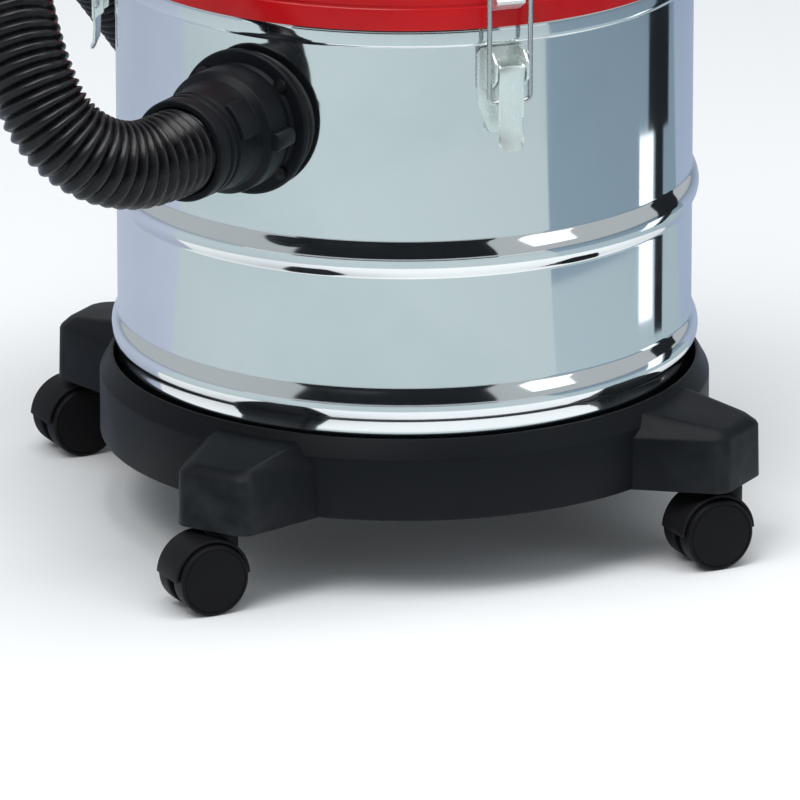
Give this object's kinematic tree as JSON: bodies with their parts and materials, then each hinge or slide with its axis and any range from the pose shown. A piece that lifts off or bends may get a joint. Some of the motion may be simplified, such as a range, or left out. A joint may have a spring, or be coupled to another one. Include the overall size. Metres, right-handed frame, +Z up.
{
  "type": "shop vacuum",
  "caption": "Wet and dry shop vacuum: polished steel drum on a castor dolly, clamped red motor head, carry handle, corrugated suction hose with hand grip.",
  "frame": {"origin": "on the floor, on the drum's axis", "axes": "+Z up along the drum's axis; -Y is the front, where the hose inlet faces; +X is to the right seen from the front"},
  "size_m": [0.5836, 0.7591, 0.4404],
  "materials": {
    "polished_steel": "mirror polished stainless sheet",
    "zinc_steel": "zinc plated, satin",
    "plain_steel": "bright drawn steel",
    "black_steel": "black phosphate",
    "black_plastic": "moulded, fine texture",
    "castor_plastic": "moulded, satin",
    "hose_plastic": "corrugated, semi gloss",
    "red_plastic": "moulded, gloss",
    "grey_plastic": "moulded, satin",
    "rubber": "matt",
    "foam": "open cell foam",
    "laminated_steel": "stacked laminations",
    "float_plastic": "smooth"
  },
  "bodies": {
    "drum": {"dolly_base": "black_plastic", "drum": "polished_steel", "drum_screws": "plain_steel", "inlet_port": "black_plastic", "inlet_gasket": "rubber", "inlet_screws": "black_steel", "latch_plates": "zinc_steel", "latch_rivets": "zinc_steel", "latch_pins": "zinc_steel", "hose_connector": "black_plastic", "hose_tube": "hose_plastic", "hose_grip": "black_plastic"},
    "head": {"head_skirt": "red_plastic", "head_gasket": "rubber", "motor_plate": "plain_steel", "motor_cover": "black_plastic", "carry_handle": "black_plastic", "head_catches": "zinc_steel", "switch_housing": "black_plastic", "cable_gland": "rubber", "blower_port": "black_plastic", "fan_housing": "plain_steel", "motor_housing": "plain_steel", "motor_stator": "laminated_steel", "motor_bearings": "plain_steel", "float_cage": "grey_plastic", "foam_filter": "foam", "filter_ring": "grey_plastic", "head_screws": "plain_steel"},
    "air_slider": {"air_slider": "grey_plastic"},
    "switch_rocker": {"switch_rocker": "red_plastic"},
    "rotor": {"rotor": "laminated_steel", "impeller": "grey_plastic"},
    "float_ball": {"float_ball": "float_plastic"},
    "castor_1": {"castor_hood_1": "castor_plastic", "castor_stem_1": "plain_steel", "castor_axle_1": "plain_steel"},
    "wheel_a_1": {"castor_wheel_a_1": "castor_plastic"},
    "wheel_b_1": {"castor_wheel_b_1": "castor_plastic"},
    "castor_2": {"castor_hood_2": "castor_plastic", "castor_stem_2": "plain_steel", "castor_axle_2": "plain_steel"},
    "wheel_a_2": {"castor_wheel_a_2": "castor_plastic"},
    "wheel_b_2": {"castor_wheel_b_2": "castor_plastic"},
    "castor_3": {"castor_hood_3": "castor_plastic", "castor_stem_3": "plain_steel", "castor_axle_3": "plain_steel"},
    "wheel_a_3": {"castor_wheel_a_3": "castor_plastic"},
    "wheel_b_3": {"castor_wheel_b_3": "castor_plastic"},
    "castor_4": {"castor_hood_4": "castor_plastic", "castor_stem_4": "plain_steel", "castor_axle_4": "plain_steel"},
    "wheel_a_4": {"castor_wheel_a_4": "castor_plastic"},
    "wheel_b_4": {"castor_wheel_b_4": "castor_plastic"},
    "latch_lever_1": {"latch_lever_1": "zinc_steel"},
    "latch_bail_1": {"latch_bail_1": "zinc_steel"},
    "latch_lever_2": {"latch_lever_2": "zinc_steel"},
    "latch_bail_2": {"latch_bail_2": "zinc_steel"},
    "latch_lever_3": {"latch_lever_3": "zinc_steel"},
    "latch_bail_3": {"latch_bail_3": "zinc_steel"}
  },
  "joints": [
    {"name": "head_lift", "type": "slide", "parent": "drum", "child": "head", "axis": [0, 0, 1], "range_m": [0, 0.08]},
    {"name": "castor_swivel_1", "type": "hinge", "parent": "drum", "child": "castor_1", "pos_m": [0.17789, 0.00621, 0.04], "axis": [0, 0, 1], "continuous": true},
    {"name": "wheel_spin_a_1", "type": "hinge", "parent": "castor_1", "child": "wheel_a_1", "pos_m": [0.17277, -0.00179, 0.0175], "axis": [0.8425, -0.5388, 0], "continuous": true},
    {"name": "wheel_spin_b_1", "type": "hinge", "parent": "castor_1", "child": "wheel_b_1", "pos_m": [0.17277, -0.00179, 0.0175], "axis": [0.8425, -0.5388, 0], "continuous": true},
    {"name": "castor_swivel_2", "type": "hinge", "parent": "drum", "child": "castor_2", "pos_m": [-0.00621, 0.17789, 0.04], "axis": [0, 0, 1], "continuous": true},
    {"name": "wheel_spin_a_2", "type": "hinge", "parent": "castor_2", "child": "wheel_a_2", "pos_m": [-0.01133, 0.16989, 0.0175], "axis": [0.8425, -0.5388, 0], "continuous": true},
    {"name": "wheel_spin_b_2", "type": "hinge", "parent": "castor_2", "child": "wheel_b_2", "pos_m": [-0.01133, 0.16989, 0.0175], "axis": [0.8425, -0.5388, 0], "continuous": true},
    {"name": "castor_swivel_3", "type": "hinge", "parent": "drum", "child": "castor_3", "pos_m": [-0.17789, -0.00621, 0.04], "axis": [0, 0, 1], "continuous": true},
    {"name": "wheel_spin_a_3", "type": "hinge", "parent": "castor_3", "child": "wheel_a_3", "pos_m": [-0.18301, -0.01422, 0.0175], "axis": [0.8425, -0.5388, 0], "continuous": true},
    {"name": "wheel_spin_b_3", "type": "hinge", "parent": "castor_3", "child": "wheel_b_3", "pos_m": [-0.18301, -0.01422, 0.0175], "axis": [0.8425, -0.5388, 0], "continuous": true},
    {"name": "castor_swivel_4", "type": "hinge", "parent": "drum", "child": "castor_4", "pos_m": [0.00621, -0.17789, 0.04], "axis": [0, 0, 1], "continuous": true},
    {"name": "wheel_spin_a_4", "type": "hinge", "parent": "castor_4", "child": "wheel_a_4", "pos_m": [0.00109, -0.1859, 0.0175], "axis": [0.8425, -0.5388, 0], "continuous": true},
    {"name": "wheel_spin_b_4", "type": "hinge", "parent": "castor_4", "child": "wheel_b_4", "pos_m": [0.00109, -0.1859, 0.0175], "axis": [0.8425, -0.5388, 0], "continuous": true},
    {"name": "latch_lever_1", "type": "hinge", "parent": "drum", "child": "latch_lever_1", "pos_m": [0.11668, -0.09584, 0.263], "axis": [-0.6347, -0.7727, 0], "range_deg": [0, 160]},
    {"name": "latch_bail_1", "type": "hinge", "parent": "latch_lever_1", "child": "latch_bail_1", "pos_m": [0.11668, -0.09584, 0.247], "axis": [-0.6347, -0.7727, 0], "range_deg": [-260, 0]},
    {"name": "latch_lever_2", "type": "hinge", "parent": "drum", "child": "latch_lever_2", "pos_m": [-0.14134, -0.05313, 0.263], "axis": [-0.3518, 0.9361, 0], "range_deg": [0, 160]},
    {"name": "latch_bail_2", "type": "hinge", "parent": "latch_lever_2", "child": "latch_bail_2", "pos_m": [-0.14134, -0.05313, 0.247], "axis": [-0.3518, 0.9361, 0], "range_deg": [-260, 0]},
    {"name": "latch_lever_3", "type": "hinge", "parent": "drum", "child": "latch_lever_3", "pos_m": [0.02466, 0.14897, 0.263], "axis": [0.9866, -0.1633, 0], "range_deg": [0, 160]},
    {"name": "latch_bail_3", "type": "hinge", "parent": "latch_lever_3", "child": "latch_bail_3", "pos_m": [0.02466, 0.14897, 0.247], "axis": [0.9866, -0.1633, 0], "range_deg": [-260, 0]},
    {"name": "power_switch", "type": "hinge", "parent": "head", "child": "switch_rocker", "pos_m": [0, -0.04, 0.39], "axis": [1, 0, 0], "range_deg": [-8, 8]},
    {"name": "motor_spin", "type": "hinge", "parent": "head", "child": "rotor", "pos_m": [0, 0, 0.34], "axis": [0, 0, 1], "continuous": true},
    {"name": "float_rise", "type": "slide", "parent": "head", "child": "float_ball", "axis": [0, 0, 1], "range_m": [0, 0.0208]},
    {"name": "air_slide", "type": "slide", "parent": "drum", "child": "air_slider", "axis": [-0.6067, 0.795, 0], "range_m": [0, 0.0125]}
  ],
  "couplings": [
    {"joint": "latch_lever_1", "follows": "head_lift", "rad_per_m": 34.9},
    {"joint": "latch_bail_1", "follows": "head_lift", "rad_per_m": -56.7},
    {"joint": "latch_lever_2", "follows": "head_lift", "rad_per_m": 34.9},
    {"joint": "latch_bail_2", "follows": "head_lift", "rad_per_m": -56.7},
    {"joint": "latch_lever_3", "follows": "head_lift", "rad_per_m": 34.9},
    {"joint": "latch_bail_3", "follows": "head_lift", "rad_per_m": -56.7}
  ]
}
